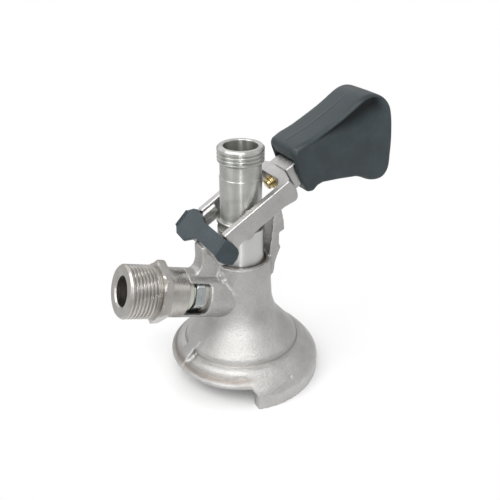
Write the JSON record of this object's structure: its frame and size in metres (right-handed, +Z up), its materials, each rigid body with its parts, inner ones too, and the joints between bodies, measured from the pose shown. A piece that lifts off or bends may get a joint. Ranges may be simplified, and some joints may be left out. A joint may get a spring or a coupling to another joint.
{
  "type": "keg coupler",
  "caption": "Slide-on keg coupler with a flared cast base, side gas inlet, upright beer probe and a forked lever with a moulded grip, shown raised.",
  "frame": {"origin": "on the probe axis, in the plane of the skirt's foot", "axes": "+Z up along the probe axis, +X toward the grip, -X toward the gas inlet; X-Z is the plane of symmetry of the castings"},
  "size_m": [0.1529, 0.0846, 0.1448],
  "materials": {
    "cast_steel": "satin cast and tumbled stainless steel",
    "turned_steel": "fine turned stainless steel",
    "bright_steel": "polished stainless steel",
    "brass": "plain turned brass",
    "grip_plastic": "fine textured dark grey moulded plastic",
    "clip_plastic": "smooth black moulded plastic",
    "black_rubber": "smooth",
    "brown_rubber": "smooth",
    "white_plastic": "smooth"
  },
  "bodies": {
    "base": {"body": "cast_steel", "keg_seal": "black_rubber", "barrel_ring": "black_rubber", "barrel_wiper": "brown_rubber", "inlet_adaptor": "turned_steel", "inlet_washer": "turned_steel", "inlet_ring_nut": "bright_steel", "inlet_bush": "white_plastic", "gas_seat_ring": "black_rubber", "gas_retainer": "brass", "gas_spring": "bright_steel"},
    "lever": {"fork": "cast_steel", "hinge_pin": "bright_steel", "drive_pins": "bright_steel", "pin_clip": "clip_plastic", "latch_bush": "brass", "latch_plug": "brass", "latch_spring": "bright_steel"},
    "latch": {"latch_plunger": "brass", "latch_rod": "bright_steel", "grip": "grip_plastic", "grip_pin": "bright_steel"},
    "probe_set": {"probe": "turned_steel", "probe_seal": "black_rubber", "beer_ball_stop": "white_plastic"},
    "beer_valve": {"beer_ball": "bright_steel"},
    "gas_valve": {"gas_ball": "bright_steel"}
  },
  "joints": [
    {"name": "lever_hinge", "type": "hinge", "parent": "base", "child": "lever", "pos_m": [-0.0176, 0, 0.0793], "axis": [0, 1, 0], "range_deg": [0, 41.5]},
    {"name": "latch_slide", "type": "slide", "parent": "lever", "child": "latch", "axis": [0.8601, 0, 0.5101], "range_m": [-0.0032, 0.004], "deforming": ["latch_spring"]},
    {"name": "probe_slide", "type": "slide", "parent": "base", "child": "probe_set", "axis": [0, 0, -1], "range_m": [0, 0.01139]},
    {"name": "beer_valve_lift", "type": "slide", "parent": "probe_set", "child": "beer_valve", "axis": [0, 0, 1], "range_m": [0, 0.0034]},
    {"name": "gas_valve_lift", "type": "slide", "parent": "base", "child": "gas_valve", "axis": [0.9527, 0, -0.304], "range_m": [0, 0.0018], "stiffness_N_per_m": 150, "springref_m": -0.003, "deforming": ["gas_spring"]}
  ],
  "couplings": [
    {"joint": "probe_slide", "follows": "lever_hinge", "m_per_rad": 0.015713}
  ]
}
